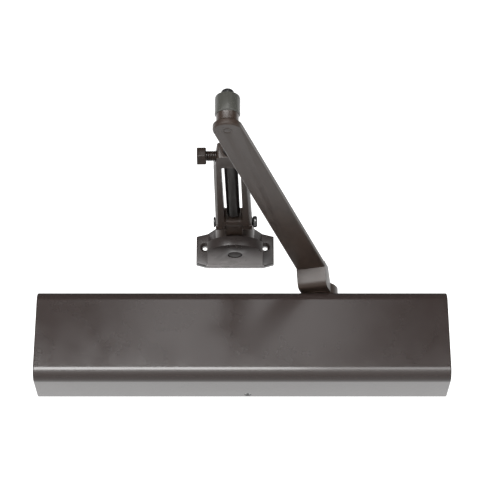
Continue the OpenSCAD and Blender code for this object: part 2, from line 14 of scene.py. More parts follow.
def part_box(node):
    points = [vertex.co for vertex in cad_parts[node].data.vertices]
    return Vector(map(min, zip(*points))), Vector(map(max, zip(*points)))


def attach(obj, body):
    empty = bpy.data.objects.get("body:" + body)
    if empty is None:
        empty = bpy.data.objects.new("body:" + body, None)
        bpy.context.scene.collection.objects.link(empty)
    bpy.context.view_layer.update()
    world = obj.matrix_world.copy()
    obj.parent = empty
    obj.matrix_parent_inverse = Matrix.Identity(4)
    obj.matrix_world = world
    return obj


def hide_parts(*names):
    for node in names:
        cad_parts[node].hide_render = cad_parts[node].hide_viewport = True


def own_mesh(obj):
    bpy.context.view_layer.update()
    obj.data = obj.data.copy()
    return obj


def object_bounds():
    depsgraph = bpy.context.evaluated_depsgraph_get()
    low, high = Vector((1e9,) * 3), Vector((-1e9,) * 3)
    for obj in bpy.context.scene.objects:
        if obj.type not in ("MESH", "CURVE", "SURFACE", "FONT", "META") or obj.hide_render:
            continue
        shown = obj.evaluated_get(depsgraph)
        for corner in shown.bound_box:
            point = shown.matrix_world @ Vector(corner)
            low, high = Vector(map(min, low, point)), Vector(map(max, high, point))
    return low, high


bl_info = {
    "name": "Door closer",
    "version": (1, 0, 0),
    "blender": (4, 5, 0),
    "location": "3D View > Sidebar > Door closer",
    "description": "Builds the finished pieces, materials and stage of a surface door closer",
    "category": "Object",
}

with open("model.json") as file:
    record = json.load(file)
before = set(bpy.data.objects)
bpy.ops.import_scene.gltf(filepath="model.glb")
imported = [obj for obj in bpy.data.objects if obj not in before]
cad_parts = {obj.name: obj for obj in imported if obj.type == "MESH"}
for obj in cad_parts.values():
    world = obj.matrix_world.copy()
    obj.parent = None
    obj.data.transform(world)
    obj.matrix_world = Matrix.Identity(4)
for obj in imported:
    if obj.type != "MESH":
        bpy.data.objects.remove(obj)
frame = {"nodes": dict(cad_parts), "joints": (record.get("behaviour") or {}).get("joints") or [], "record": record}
CAD_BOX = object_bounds()
SLOT_OF = {part["node"]: part["material_slot"] for part in frame["record"]["subparts"]}
JOINTS = {joint["name"]: joint for joint in frame["joints"]}

PINION = Vector(JOINTS["pinion_turn"]["pos_m"])
ELBOW = Vector(JOINTS["elbow_turn"]["pos_m"])
SWIVEL = Vector(JOINTS["foot_swivel"]["pos_m"])
CLAMP = Vector(JOINTS["clamp_turn"]["pos_m"])
ALONG = Vector(JOINTS["forearm_slide"]["axis"])
ACROSS = Vector(JOINTS["clamp_turn"]["axis"])
UP = Vector((0, 0, 1))
MM = 0.001
SAME_PLACE = 0.01 * MM

CAMERA_PLACE = (0.0003, -1.2804, -0.5274)
CAMERA_TILT = math.radians(116)
CAMERA_LENS = 129.7
CAMERA_SENSOR = 36

# name, place, width, height, brightness; all aim at the origin
SOFTBOXES = (
    ("front_softbox", (-1.0, -3.2, 0.12), 3.0, 1.45, 14.5),
    ("right_softbox", (1.5, -3.2, 0.12), 2.0, 1.45, 6.0),
    ("high_front", (0.0, -3.0, 1.5), 1.3, 0.8, 2.2),
)

GROUPS = {}
FINISHES = {}


# ---- Properties ----


class CloserSizes(bpy.types.PropertyGroup):
    """Sizes of the detail that the finished pieces add to the design."""

    cover_front_radius: bpy.props.FloatProperty(
        name="Front radius", description="Radius of the cover's two long front edges",
        default=9.4 * MM, unit="LENGTH")
    cover_end_radius: bpy.props.FloatProperty(
        name="End radius", description="Radius round the cover's two ends",
        default=1.1 * MM, unit="LENGTH")
    cover_wall: bpy.props.FloatProperty(
        name="Cover wall", description="Sheet thickness of the cover",
        default=1.8 * MM, unit="LENGTH")
    shaft_slot_radius: bpy.props.FloatProperty(
        name="Shaft slot radius", description="Half width of the cover's slot round the shaft",
        default=12 * MM, unit="LENGTH")
    cover_screw_hole: bpy.props.FloatProperty(
        name="Screw hole radius", description="Radius of the hole for the cover's screw",
        default=2.7 * MM, unit="LENGTH")
    forging_radius: bpy.props.FloatProperty(
        name="Forging radius", description="Rounding along the edges of the forged parts",
        default=0.45 * MM, unit="LENGTH")
    thread_pitch: bpy.props.FloatProperty(
        name="Thread pitch", description="Pitch of the clamp bolt's thread",
        default=1.25 * MM, unit="LENGTH")
    spring_wire: bpy.props.FloatProperty(
        name="Spring wire", description="Radius of the closing spring's wire",
        default=1.8 * MM, unit="LENGTH")
    pitch_radius: bpy.props.FloatProperty(
        name="Pitch radius", description="Piston travel for each radian of the pinion",
        default=7.5 * MM, unit="LENGTH")
    floor_drop: bpy.props.FloatProperty(
        name="Floor drop", description="How far the floor lies below the closer",
        default=0.8, unit="LENGTH")


class CloserColours(bpy.types.PropertyGroup):
    """Base colours of the finishes."""

    bronze: bpy.props.FloatVectorProperty(
        name="Bronze paint", description="Paint on the cover",
        default=(0.018, 0.0130, 0.0118), size=3, subtype="COLOR", min=0, max=1)
    forging: bpy.props.FloatVectorProperty(
        name="Painted forgings", description="Paint on the arms and the foot",
        default=(0.0222, 0.0148, 0.0113), size=3, subtype="COLOR", min=0, max=1)
    socket: bpy.props.FloatVectorProperty(
        name="Elbow socket", description="Grey paint on the elbow socket",
        default=(0.034, 0.034, 0.030), size=3, subtype="COLOR", min=0, max=1)
    foot: bpy.props.FloatVectorProperty(
        name="Foot bracket", description="Paint on the foot bracket",
        default=(0.019, 0.0152, 0.0142), size=3, subtype="COLOR", min=0, max=1)
    black: bpy.props.FloatVectorProperty(
        name="Black steel", description="Glossy black nuts, pins and screws",
        default=(0.012, 0.012, 0.012), size=3, subtype="COLOR", min=0, max=1)
    floor: bpy.props.FloatVectorProperty(
        name="Floor", description="Pale floor",
        default=(0.8, 0.8, 0.79), size=3, subtype="COLOR", min=0, max=1)


def sizes():
    """The sizes set in the panel."""
    return bpy.context.scene.closer_sizes


def colours():
    """The colours set in the panel."""
    return bpy.context.scene.closer_colours


# ---- Node trees ----


def add_node(tree, kind, inputs=None, **settings):
    """Adds one node; an input is a value to set or a socket to link."""
    made = tree.nodes.new(kind)
    for key, value in settings.items():
        setattr(made, key, value)
    for key, value in (inputs or {}).items():
        if isinstance(value, bpy.types.NodeSocket):
            tree.links.new(value, made.inputs[key])
        else:
            made.inputs[key].default_value = value
    return made


def maths(tree, operation, first, second=0.0, clamp=False):
    """Output of one math node on two values or sockets."""
    return add_node(tree, "ShaderNodeMath", {0: first, 1: second},
                    operation=operation, use_clamp=clamp).outputs[0]


def blend_colours(tree, factor, first, second):
    """Goes from the first colour to the second as the factor goes from 0 to 1."""
    mix = add_node(tree, "ShaderNodeMix", {0: factor, 6: first, 7: second}, data_type="RGBA")
    return mix.outputs[2]


def remap(tree, value, low, high, to_low=0.0, to_high=1.0):
    """Maps low to high onto another range, held at its ends."""
    return add_node(tree, "ShaderNodeMapRange", {
        "Value": value, "From Min": low, "From Max": high, "To Min": to_low, "To Max": to_high,
    }).outputs[0]


def rgba(colour):
    """A colour with full alpha."""
    return (*colour[:3], 1.0)


def shade(colour, factor):
    """A colour made darker or lighter."""
    return tuple(min(1.0, c * factor) for c in colour[:3]) + (1.0,)


def start_group(name, inputs, outputs):
    """A shader node group with float inputs; returns it with its two end nodes."""
    group = bpy.data.node_groups.new(name, "ShaderNodeTree")
    group.interface.new_socket("Vector", in_out="INPUT", socket_type="NodeSocketVector")
    for label, value in inputs.items():
        socket = group.interface.new_socket(label, in_out="INPUT", socket_type="NodeSocketFloat")
        socket.default_value = value
    for label in outputs:
        group.interface.new_socket(label, in_out="OUTPUT", socket_type="NodeSocketFloat")
    return group, group.nodes.new("NodeGroupInput"), group.nodes.new("NodeGroupOutput")


def noise(tree, vector, scale, detail=3.0, roughness=0.5):
    """Value of a noise texture, about 0.5 on average."""
    return add_node(tree, "ShaderNodeTexNoise", {
        "Vector": vector, "Scale": scale, "Detail": detail, "Roughness": roughness,
    }).outputs[0]


def orange_peel_group():
    """Low rounded ripples of sprayed paint, with a few fine specks."""
    group, given, result = start_group("Orange peel", {"Scale": 500.0, "Speck": 0.2}, ["Height"])
    ripple = noise(group, given.outputs["Vector"], given.outputs["Scale"], 2.0, 0.45)
    finer = maths(group, "MULTIPLY", given.outputs["Scale"], 3.7)
    specks = remap(group, noise(group, given.outputs["Vector"], finer, 1.0), 0.66, 0.74)
    both = maths(group, "ADD", ripple, maths(group, "MULTIPLY", specks, given.outputs["Speck"]))
    group.links.new(both, result.inputs["Height"])
    return group


def mottle_group():
    """Broad uneven patches, centred on zero."""
    group, given, result = start_group("Mottle", {"Scale": 20.0, "Amount": 0.1}, ["Change"])
    patches = noise(group, given.outputs["Vector"], given.outputs["Scale"], 5.0, 0.6)
    centred = maths(group, "SUBTRACT", patches, 0.5)
    group.links.new(maths(group, "MULTIPLY", centred, given.outputs["Amount"]), result.inputs["Change"])
    return group


def edge_rub_group():
    """Mask of edges rubbed by handling, broken up by noise."""
    group, given, result = start_group("Edge rub", {"Amount": 0.5, "Breakup": 90.0}, ["Mask"])
    pointed = group.nodes.new("ShaderNodeNewGeometry").outputs["Pointiness"]
    sharp = remap(group, pointed, 0.53, 0.62)
    patchy = remap(group, noise(group, given.outputs["Vector"], given.outputs["Breakup"], 4.0), 0.4, 0.62)
    rubbed = maths(group, "MULTIPLY", sharp, patchy)
    mask = maths(group, "MULTIPLY", rubbed, given.outputs["Amount"], True)
    group.links.new(mask, result.inputs["Mask"])
    return group


def tool_marks_group():
    """Fine parallel marks of turning or drawing, across the given X."""
    group, given, result = start_group("Tool marks", {"Scale": 900.0, "Stretch": 0.02}, ["Height"])
    squash = add_node(group, "ShaderNodeCombineXYZ", {
        "X": 1.0, "Y": given.outputs["Stretch"], "Z": given.outputs["Stretch"]})
    scaled = add_node(group, "ShaderNodeVectorMath", {
        0: given.outputs["Vector"], 1: squash.outputs[0]}, operation="MULTIPLY")
    lines = noise(group, scaled.outputs[0], given.outputs["Scale"], 2.0, 0.7)
    group.links.new(lines, result.inputs["Height"])
    return group


def use_group(tree, name, vector, **values):
    """Places a shared group, building it the first time, and returns its output."""
    makers = {"Orange peel": orange_peel_group, "Mottle": mottle_group,
              "Edge rub": edge_rub_group, "Tool marks": tool_marks_group}
    if name not in GROUPS:
        GROUPS[name] = makers[name]()
    placed = tree.nodes.new("ShaderNodeGroup")
    placed.node_tree = GROUPS[name]
    tree.links.new(vector, placed.inputs["Vector"])
    for label, value in values.items():
        placed.inputs[label].default_value = value
    return placed.outputs[0]


# ---- Materials ----


def start_material(name, roughness, metallic=0.0, ior=1.5):
    """A material with one shader; returns it with its tree, its shader and the Object coordinates."""
    material = bpy.data.materials.new(name)
    material.use_nodes = True
    tree = material.node_tree
    tree.nodes.clear()
    shader = add_node(tree, "ShaderNodeBsdfPrincipled", {
        "Roughness": roughness, "Metallic": metallic, "IOR": ior})
    output = tree.nodes.new("ShaderNodeOutputMaterial")
    tree.links.new(shader.outputs[0], output.inputs[0])
    vector = tree.nodes.new("ShaderNodeTexCoord").outputs["Object"]
    return material, tree, shader, vector


def raise_surface(tree, shader, height, depth):
    """Bumps the shader's normal by a height of the given depth in metres."""
    bump = add_node(tree, "ShaderNodeBump", {"Height": height, "Distance": depth, "Strength": 1.0})
    tree.links.new(bump.outputs[0], shader.inputs["Normal"])


def vary_roughness(tree, shader, change, base):
    """Sets the roughness to a base value plus a change."""
    tree.links.new(maths(tree, "ADD", change, base, True), shader.inputs["Roughness"])


def uneven_tone(tree, vector, colour, scale, amount, darkest, lightest):
    """The colour in broad patches between a darker and a lighter shade of it."""
    patches = use_group(tree, "Mottle", vector, Scale=scale, Amount=amount)
    factor = maths(tree, "ADD", patches, 0.5, True)
    return blend_colours(tree, factor, shade(colour, darkest), shade(colour, lightest))


def painted(name, colour, roughness, peel=420.0, depth=0.02, rub=0.35, ior=1.5, below=None, fade=None):
    """Sprayed paint over metal: ripples, uneven gloss and rubbed edges.

    Below a height it can have another colour, which can fade in between two places along Y. The socket uses this
    for a second paint colour; the foot uses it for a painted reflection on its bottom face that fades into painted
    shade.
    """
    material, tree, shader, vector = start_material(name, roughness, ior=ior)
    tone = uneven_tone(tree, vector, colour, 26.0, 0.5, 0.86, 1.14)
    if below:
        parts = add_node(tree, "ShaderNodeSeparateXYZ", {"Vector": vector}).outputs
        height, lower_colour = below
        mask = remap(tree, parts["Z"], height, height - 0.2 * MM)
        # For the foot, this fade along Y is painted shade across the painted reflection.
        if fade:
            mask = maths(tree, "MULTIPLY", mask, remap(tree, parts["Y"], *fade))
        tone = blend_colours(tree, mask, tone, rgba(lower_colour))
    rubbed = use_group(tree, "Edge rub", vector, Amount=rub, Breakup=70.0)
    tree.links.new(blend_colours(tree, rubbed, tone, shade(colour, 2.6)), shader.inputs["Base Color"])
    gloss = use_group(tree, "Mottle", vector, Scale=60.0, Amount=0.12)
    vary_roughness(tree, shader, gloss, roughness)
    raise_surface(tree, shader, use_group(tree, "Orange peel", vector, Scale=peel, Speck=0.15), depth * MM)
    return material


def machined(name, colour, roughness, axis=0, lines=900.0, depth=0.004):
    """Turned, drawn or ground metal, its marks crossing the given axis."""
    material, tree, shader, vector = start_material(name, roughness, metallic=1.0)
    turn = {0: (0, 0, 0), 1: (0, 0, math.pi / 2), 2: (0, math.pi / 2, 0)}[axis]
    along = add_node(tree, "ShaderNodeMapping", {"Vector": vector, "Rotation": turn}).outputs[0]
    tree.links.new(uneven_tone(tree, vector, colour, 45.0, 0.25, 0.8, 1.2), shader.inputs["Base Color"])
    marks = use_group(tree, "Tool marks", along, Scale=lines, Stretch=0.02)
    centred = maths(tree, "SUBTRACT", marks, 0.5)
    vary_roughness(tree, shader, maths(tree, "MULTIPLY", centred, 0.3), roughness)
    raise_surface(tree, shader, marks, depth * MM)
    return material


def cast(name, colour, roughness, grain=650.0, depth=0.08, metallic=1.0):
    """As-cast or moulded surface with a fine open grain."""
    material, tree, shader, vector = start_material(name, roughness, metallic=metallic)
    tone = uneven_tone(tree, vector, colour, 35.0, 0.6, 0.78, 1.15)
    rubbed = use_group(tree, "Edge rub", vector, Amount=0.3, Breakup=120.0)
    tree.links.new(blend_colours(tree, rubbed, tone, shade(colour, 1.5)), shader.inputs["Base Color"])
    gloss = use_group(tree, "Mottle", vector, Scale=35.0, Amount=0.6)
    vary_roughness(tree, shader, gloss, roughness)
    raise_surface(tree, shader, use_group(tree, "Orange peel", vector, Scale=grain, Speck=0.5), depth * MM)
    return material


def finish_table():
    """Maker, colour, roughness and further settings of the finish in each slot of the record."""
    paint = colours()
    # Below 56.3 mm the foot's bottom face gets a pale painted reflection of the surround instead of its paint. It
    # fades in along Y past the swivel, so it stays darker towards -Y: painted light with painted shade.
    painted_underside_light = {"below": (0.0563, (0.22, 0.208, 0.206)), "fade": (SWIVEL.y - 0.013, SWIVEL.y + 0.013)}
    dark_rim = {"below": (0.064, paint.forging)}
    smooth_skin = {"grain": 1200.0, "depth": 0.02, "metallic": 0.0}
    return {
        "bronze_paint": (painted, paint.bronze, 0.2, {"rub": 0.15}),
        "bronze_forging": (painted, paint.forging, 0.37,
                           {"peel": 520.0, "depth": 0.03, "rub": 0.3, "ior": 1.38}),
        "foot_paint": (painted, paint.foot, 0.28,
                       {"peel": 480.0, "depth": 0.03, "rub": 0.1, "ior": 1.36, **painted_underside_light}),
        "socket_paint": (painted, paint.socket, 0.26, {"peel": 560.0, "depth": 0.03, "rub": 0.3, **dark_rim}),
        "bolt_steel": (painted, shade(paint.forging, 0.6), 0.22, {"peel": 700.0, "rub": 0.3, "ior": 1.34}),
        "black_steel": (painted, paint.black, 0.2, {"peel": 900.0, "depth": 0.01, "rub": 0.6, "ior": 1.7}),
        "rod_steel": (machined, (0.055, 0.052, 0.05), 0.33, {"lines": 1300.0}),
        "cast_aluminium": (cast, (0.36, 0.37, 0.38), 0.55, {}),
        "zinc_steel": (machined, (0.62, 0.61, 0.58), 0.3, {}),
        "bearing_steel": (machined, (0.56, 0.57, 0.58), 0.16, {"axis": 2, "lines": 1500.0}),
        "piston_iron": (machined, (0.3, 0.3, 0.31), 0.34, {"depth": 0.008}),
        "spring_steel": (machined, (0.2, 0.2, 0.21), 0.36, {"axis": 1, "lines": 600.0}),
        "valve_brass": (machined, (0.68, 0.5, 0.2), 0.24, {"axis": 1}),
        "seal_rubber": (cast, (0.024, 0.024, 0.025), 0.6, smooth_skin),
        "nylon": (cast, (0.05, 0.05, 0.047), 0.5, {**smooth_skin, "grain": 900.0}),
    }


def make_materials():
    """Makes the finishes and puts them on the design's nodes."""
    for slot, (maker, colour, roughness, settings) in finish_table().items():
        FINISHES[slot] = maker(slot, colour, roughness, **settings)
    missing = sorted(set(SLOT_OF.values()) - set(FINISHES))
    if missing:
        raise RuntimeError(f"no material is made for the slots {missing}")
    for node, obj in frame["nodes"].items():
        obj.data.materials.clear()
        obj.data.materials.append(FINISHES[SLOT_OF[node]])


# ---- Modelling ----


def deselect():
    """Leaves edit mode with nothing selected."""
    if bpy.context.object and bpy.context.object.mode != "OBJECT":
        bpy.ops.object.mode_set(mode="OBJECT")
    bpy.ops.object.select_all(action="DESELECT")


def pick(obj):
    """Makes the object the only one selected, and active."""
    deselect()
    obj.select_set(True)
    bpy.context.view_layer.objects.active = obj


def name_new(name):
    """Names the primitive just added, with its place moved into its mesh."""
    obj = bpy.context.object
    obj.name = name
    obj.data.name = name
    bpy.ops.object.transform_apply(location=True, rotation=True, scale=True)
    return obj


def edit_select(obj, kind, test):
    """Enters edit mode with only the faces or edges that pass the test selected."""
    pick(obj)
    bpy.ops.object.mode_set(mode="EDIT")
    bpy.ops.mesh.select_mode(type=kind)
    bpy.ops.mesh.select_all(action="DESELECT")
    shape = bmesh.from_edit_mesh(obj.data)
    for part in (shape.faces if kind == "FACE" else shape.edges):
        if test(part):
            part.select_set(True)
    bmesh.update_edit_mesh(obj.data)


def apply_modifier(obj, kind, **settings):
    """Adds a modifier with its settings and applies it."""
    pick(obj)
    modifier = obj.modifiers.new(kind.title(), kind)
    for key, value in settings.items():
        setattr(modifier, key, value)
    bpy.ops.object.modifier_apply(modifier=modifier.name)


def cut_with(obj, *cutters):
    """Cuts the cutters out of the object and removes them."""
    for cutter in cutters:
        apply_modifier(obj, "BOOLEAN", operation="DIFFERENCE", object=cutter, solver="EXACT")
        bpy.data.objects.remove(cutter)


def smooth(obj, degrees=35):
    """Shades smooth across edges flatter than the angle."""
    pick(obj)
    bpy.ops.object.shade_smooth_by_angle(angle=math.radians(degrees))


def edge_on(edge, axis, value):
    """Whether both ends of the edge lie at a value along an axis."""
    return all(abs(v.co[axis] - value) < SAME_PLACE for v in edge.verts)


def close_ends(obj):
    """Closes the open ends of a swept profile and turns its faces outward."""
    edit_select(obj, "EDGE", lambda e: e.is_boundary)
    bpy.ops.mesh.fill_holes(sides=0)
    bpy.ops.mesh.select_all(action="SELECT")
    bpy.ops.mesh.normals_make_consistent(inside=False)
    bpy.ops.object.mode_set(mode="OBJECT")


def turned(name, profile, centre):
    """A piece of revolution: a disc extruded and scaled through (radius, height) steps in millimetres."""
    radius, height = profile[0]
    deselect()
    bpy.ops.mesh.primitive_circle_add(
        vertices=64, radius=radius * MM, fill_type="NGON", location=(0, 0, height * MM))
    obj = name_new(name)
    bpy.ops.object.mode_set(mode="EDIT")
    bpy.ops.mesh.select_mode(type="FACE")
    bpy.ops.mesh.select_all(action="SELECT")
    for new_radius, new_height in profile[1:]:
        bpy.ops.mesh.extrude_region_move(
            TRANSFORM_OT_translate={"value": (0, 0, (new_height - height) * MM)})
        factor = new_radius / radius
        bpy.ops.transform.resize(value=(factor, factor, 1), center_override=(0, 0, new_height * MM))
        radius, height = new_radius, new_height
    bpy.ops.mesh.select_all(action="SELECT")
    bpy.ops.mesh.normals_make_consistent(inside=False)
    bpy.ops.object.mode_set(mode="OBJECT")
    obj.data.transform(Matrix.Translation(centre))
    smooth(obj)
    return obj


def turn_upright(axis):
    """The rotation that turns up into the axis."""
    return UP.rotation_difference(Vector(axis)).to_matrix().to_4x4()


def from_design(node, name, radius):
    """A copy of a node with its loose triangles merged and its edges rounded."""
    source = frame["nodes"][node]
    obj = bpy.data.objects.new(name, source.data.copy())
    bpy.context.scene.collection.objects.link(obj)
    obj.data.name = name
    obj.data.materials.clear()
    pick(obj)
    bpy.ops.object.mode_set(mode="EDIT")
    bpy.ops.mesh.select_all(action="SELECT")
    bpy.ops.mesh.remove_doubles(threshold=0.004 * MM)
    bpy.ops.mesh.dissolve_limited(angle_limit=math.radians(1.0))
    bpy.ops.object.mode_set(mode="OBJECT")
    apply_modifier(obj, "BEVEL", width=radius, segments=3, limit_method="ANGLE",
                   angle_limit=math.radians(28), use_clamp_overlap=True, harden_normals=False)
    smooth(obj)
    return obj


def place(obj, body, node):
    """Hangs the piece on the body it rides on, hides the node it stands for, and gives it the node's finish."""
    obj.data.materials.clear()
    obj.data.materials.append(FINISHES[SLOT_OF[node]])
    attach(obj, body)
    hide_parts(node)


def build_cover():
    """Folded sheet cover with rounded front edges, a slot for the shaft and a screw hole."""
    low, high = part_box("cover")
    size = high - low
    deselect()
    bpy.ops.mesh.primitive_cube_add(size=1, location=(low + high) / 2, scale=size)
    cover = name_new("cover_shell")
    edit_select(cover, "EDGE", lambda e: edge_on(e, 1, low.y)
                and (edge_on(e, 2, low.z) or edge_on(e, 2, high.z)))
    bpy.ops.mesh.bevel(offset=sizes().cover_front_radius, segments=18, profile=0.5, affect="EDGES")
    edit_select(cover, "FACE", lambda f: f.calc_center_median().y > high.y - SAME_PLACE)
    bpy.ops.mesh.delete(type="FACE")
    edit_select(cover, "EDGE", lambda e: (edge_on(e, 0, low.x) or edge_on(e, 0, high.x))
                and not edge_on(e, 1, high.y))
    bpy.ops.mesh.bevel(offset=sizes().cover_end_radius, segments=4, profile=0.5, affect="EDGES")
    bpy.ops.object.mode_set(mode="OBJECT")
    apply_modifier(cover, "SOLIDIFY", thickness=sizes().cover_wall, offset=-1.0, use_even_offset=True)
    slot_radius = sizes().shaft_slot_radius
    cut_depth, cut_past = 12 * MM, 4 * MM
    deselect()
    bpy.ops.mesh.primitive_cylinder_add(
        vertices=64, radius=slot_radius, depth=cut_depth, location=(PINION.x, PINION.y, high.z))
    round_cut = name_new("round_cut")
    deselect()
    bpy.ops.mesh.primitive_cube_add(
        size=1, location=(PINION.x, (PINION.y + cut_past) / 2, high.z),
        scale=(2 * slot_radius, cut_past - PINION.y, cut_depth))
    back_cut = name_new("back_cut")
    screw_low, screw_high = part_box("cover_screw")
    screw = (screw_low + screw_high) / 2
    deselect()
    bpy.ops.mesh.primitive_cylinder_add(
        vertices=40, radius=sizes().cover_screw_hole, depth=8 * MM, location=(screw.x, screw.y, low.z))
    cut_with(cover, round_cut, back_cut, name_new("screw_cut"))
    smooth(cover, 30)
    place(cover, "closer", "cover")


def build_main_arm():
    """Forged arm, its arm screw and washer."""
    arm = from_design("main_arm", "main_arm_forging", sizes().forging_radius * 1.3)
    place(arm, "shaft_arm", "main_arm")
    centre = Vector((PINION.x, PINION.y, 0))
    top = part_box("arm_screw")[1].z / MM
    head = turned("arm_screw_head", [
        (4.9, top - 5), (5, top - 4.7), (5, top - 0.5), (4.6, top - 0.05), (3.3, top),
        (3.1, top - 2.8), (0.2, top - 3.4),
    ], centre)
    place(head, "shaft_arm", "arm_screw")
    low, high = (corner.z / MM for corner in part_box("arm_washer"))
    washer = turned("arm_washer_disc", [
        (7.5, low), (7.8, low + 0.3), (7.8, high - 0.3), (7.5, high), (3.2, high),
    ], centre)
    place(washer, "shaft_arm", "arm_washer")


def build_elbow():
    """Stud, socket, washer and dome nut round the elbow's axis."""
    centre = Vector((ELBOW.x, ELBOW.y, 0))
    socket = from_design("elbow_socket", "elbow_socket_casting", 0.35 * MM)
    place(socket, "elbow_rod", "elbow_socket")
    low, high = (corner.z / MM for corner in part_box("elbow_nut"))
    radius, shoulder, steps = 4.6, low + 1.7, 10
    dome = [(radius - 0.3, low), (radius, low + 0.25), (radius, shoulder)]
    for i in range(1, steps + 1):
        angle = math.radians(86 * i / steps)
        dome.append((radius * math.cos(angle), shoulder + (high - shoulder) * math.sin(angle)))
    place(turned("elbow_nut_dome", dome, centre), "shaft_arm", "elbow_nut")
    low, high = (corner.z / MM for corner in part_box("elbow_stud"))
    stud = turned("elbow_stud_rivet", [
        (2.2, low + 0.3), (2.5, low + 0.05), (3.0, low), (3.3, low + 0.2), (3.3, high - 0.4), (2.9, high),
    ], centre)
    place(stud, "shaft_arm", "elbow_stud")
    low, high = (corner.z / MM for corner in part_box("elbow_washer"))
    washer = turned("elbow_washer_disc", [
        (5.1, low), (5.4, low + 0.2), (5.4, high - 0.2), (5.1, high),
    ], centre)
    place(washer, "shaft_arm", "elbow_washer")


def build_forearm():
    """Slotted frame, fork pin and the clamp bolt with a cut thread."""
    frame_piece = from_design("forearm_frame", "forearm_forging", sizes().forging_radius)
    place(frame_piece, "forearm", "forearm_frame")
    place(from_design("fork_pin", "fork_pin_head", 0.25 * MM), "forearm", "fork_pin")
    build_clamp_bolt()


def build_clamp_bolt():
    """Hexagon head with a washer face, and a shank with a helical thread."""
    head_start, head_end, corner_radius = 0.5, 6.6, 6.95
    deselect()
    bpy.ops.mesh.primitive_cylinder_add(vertices=6, radius=corner_radius * MM,
                                        depth=(head_end - head_start) * MM,
                                        location=(0, 0, (head_start + head_end) / 2 * MM),
                                        rotation=(0, 0, math.radians(30)), end_fill_type="NGON")
    bolt = name_new("clamp_bolt_cut")
    edit_select(bolt, "FACE", lambda f: f.normal.z > 0.9)
    bpy.ops.mesh.inset(thickness=0.9 * MM, depth=0.0)
    edit_select(bolt, "FACE", lambda f: f.normal.z < -0.9)
    bpy.ops.mesh.inset(thickness=0.6 * MM, depth=0.4 * MM)
    bpy.ops.object.mode_set(mode="OBJECT")
    apply_modifier(bolt, "BEVEL", width=0.35 * MM, segments=3, limit_method="ANGLE",
                   angle_limit=math.radians(30))
    rod_gap = 5.4
    beside_rod = CLAMP - (ELBOW + ALONG * (CLAMP - ELBOW).dot(ALONG))
    tip = rod_gap - beside_rod.dot(ACROSS) / MM
    core = turned("clamp_core", [(2.6, tip), (3.35, tip + 1), (3.35, 0.6)], Vector((0, 0, 0)))
    thread = build_thread(sizes().thread_pitch / MM, tip + 1, -0.3)
    pick(bolt)
    core.select_set(True)
    thread.select_set(True)
    bpy.context.view_layer.objects.active = bolt
    bpy.ops.object.join()
    bolt.data.transform(Matrix.Translation(CLAMP) @ turn_upright(ACROSS))
    smooth(bolt, 32)
    place(bolt, "clamp", "clamp_bolt")


def build_thread(pitch, start, end):
    """A closed V ridge wound along Z between two heights, in millimetres."""
    turns = int((end - start) / pitch)
    deselect()
    bpy.ops.mesh.primitive_circle_add(vertices=3, radius=0.5 * MM, fill_type="NOTHING")
    ridge = name_new("clamp_thread")
    half, root, crest = pitch * 0.44, 3.2, 3.98
    corners = [(root, start - half), (crest, start), (root, start + half)]
    for vertex, (radius, height) in zip(ridge.data.vertices, corners):
        vertex.co = (radius * MM, 0, height * MM)
    apply_modifier(ridge, "SCREW", axis="Z", angle=math.tau, screw_offset=pitch * MM,
                   iterations=turns, steps=36, render_steps=36, use_merge_vertices=True)
    close_ends(ridge)
    return ridge


def build_foot():
    """Swivel block, foot bracket and swivel pin."""
    place(from_design("knuckle", "knuckle_forging", sizes().forging_radius * 1.2), "swivel_block", "knuckle")
    place(from_design("foot_bracket", "foot_bracket_forging", sizes().forging_radius), "foot", "foot_bracket")
    place(from_design("swivel_pin", "swivel_pin_rivet", 0.25 * MM), "foot", "swivel_pin")


def build_body():
    """Cast housing with its edges rounded."""
    place(from_design("housing", "housing_casting", 0.8 * MM), "closer", "housing")


def build_spring():
    """Closing spring, drawn as two lengths that meet in its middle.

    The two cut faces are a hair apart.
    """
    low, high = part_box("main_spring")
    middle = (low + high) / 2
    half = high.x - middle.x
    wire, turns, hair = sizes().spring_wire, 8, 0.004
    mean = (high.z - low.z) / 2 - wire
    seat_travel = JOINTS["seat_slide"]["range_m"][1]
    piston_travel = math.radians(-JOINTS["pinion_turn"]["range_deg"][0]) * sizes().pitch_radius
    lengths = (("main_spring_seat_length", "seat_slide", seat_travel, math.pi),
               ("main_spring_piston_length", "pinion_turn", piston_travel, 0.0))
    for name, joint, travel, flip in lengths:
        deselect()
        bpy.ops.mesh.primitive_circle_add(vertices=16, radius=wire, fill_type="NOTHING",
                                          location=(mean, 0, 0), rotation=(math.pi / 2, 0, 0))
        spring = name_new(name)
        apply_modifier(spring, "SCREW", axis="Z", angle=math.tau, screw_offset=(half - wire) / turns,
                       iterations=turns, steps=40, render_steps=40, use_merge_vertices=True)
        close_ends(spring)
        spring.data.transform(Matrix.Rotation(flip, 4, "X") @ Matrix.Rotation(hair, 4, "Z"))
        spring.data.transform(Matrix.Translation(middle) @ turn_upright((1, 0, 0)))
        smooth(spring)
        place(spring, "closer", "main_spring")
        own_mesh(spring)


# ---- Stage ----


def softbox(name, location, width, height, radiance):
    """An area light that the camera doesn't see, given by its brightness."""
    light = bpy.data.lights.new(name, "AREA")
    light.shape = "RECTANGLE"
    light.size = width
    light.size_y = height
    light.energy = radiance * math.pi * width * height
    obj = bpy.data.objects.new(name, light)
    obj.location = location
    obj.rotation_euler = (-Vector(location)).to_track_quat("-Z", "Y").to_euler()
    obj.visible_camera = False
    bpy.context.scene.collection.objects.link(obj)


